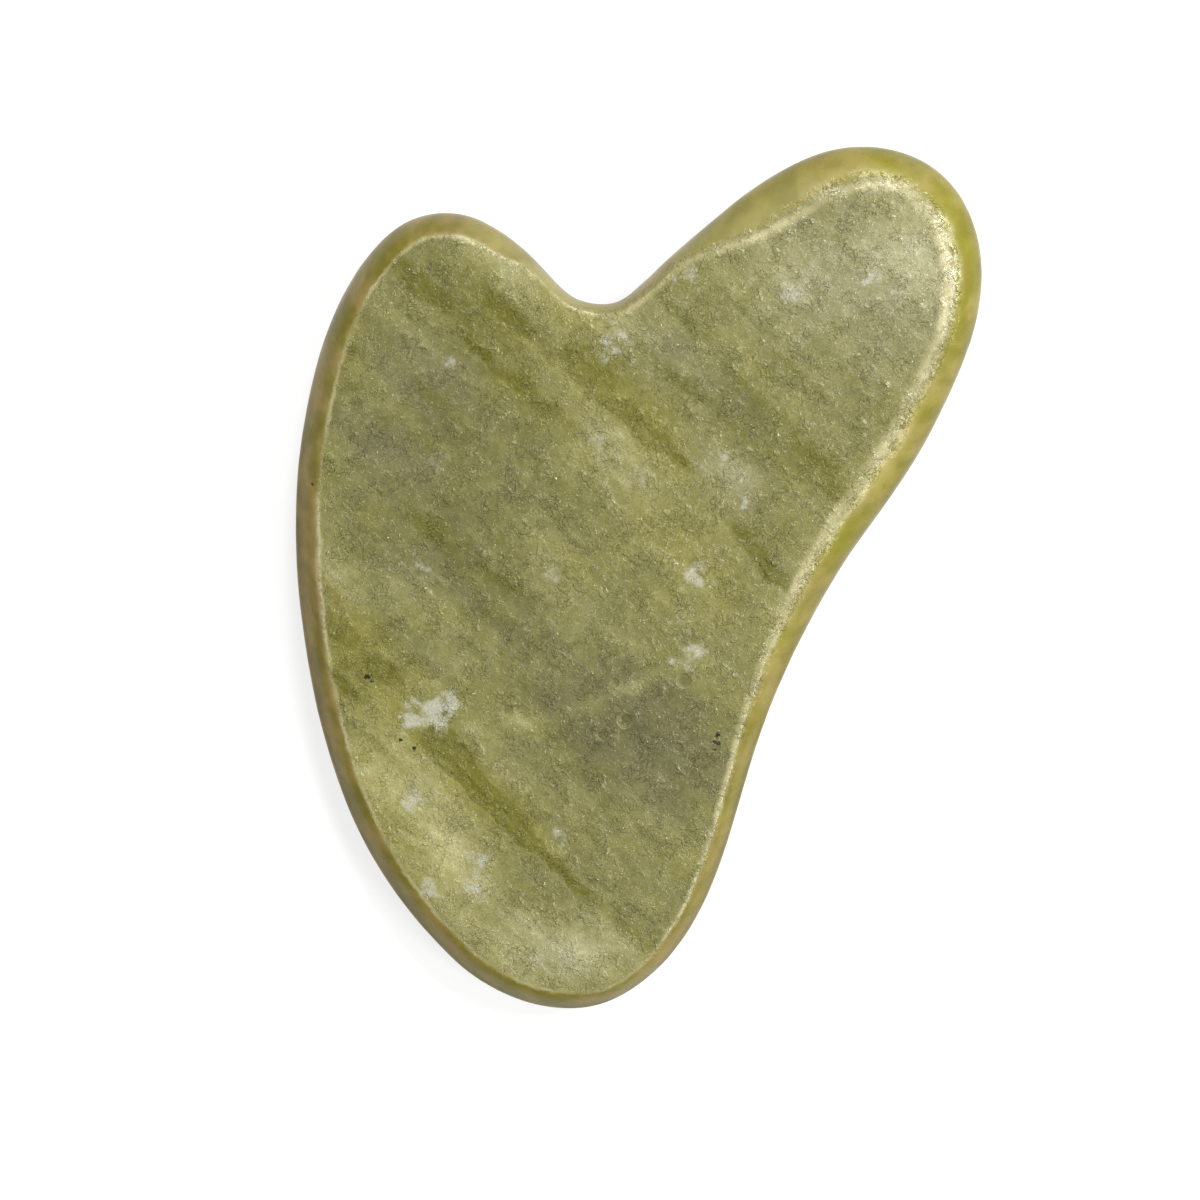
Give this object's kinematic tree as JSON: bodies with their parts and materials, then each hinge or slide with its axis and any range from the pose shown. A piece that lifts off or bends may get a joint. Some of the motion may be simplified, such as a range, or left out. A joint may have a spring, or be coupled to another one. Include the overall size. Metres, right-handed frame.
{
  "type": "gua sha scraper",
  "caption": "Flat heart-shaped jade board for scraping massage, with a large lobe, a small lobe, a rounded notch between them, a rounded foot and polished edges.",
  "frame": {"origin": "centre of the bounding box, on the back face", "axes": "+Y along the board from the foot towards the large lobe, +X from the small lobe's side towards the large lobe's side, +Z out of the front face"},
  "size_m": [0.0538, 0.0848, 0.0065],
  "materials": {
    "jade": "polished"
  },
  "bodies": {
    "root": {"jade_board": "jade"}
  },
  "joints": []
}
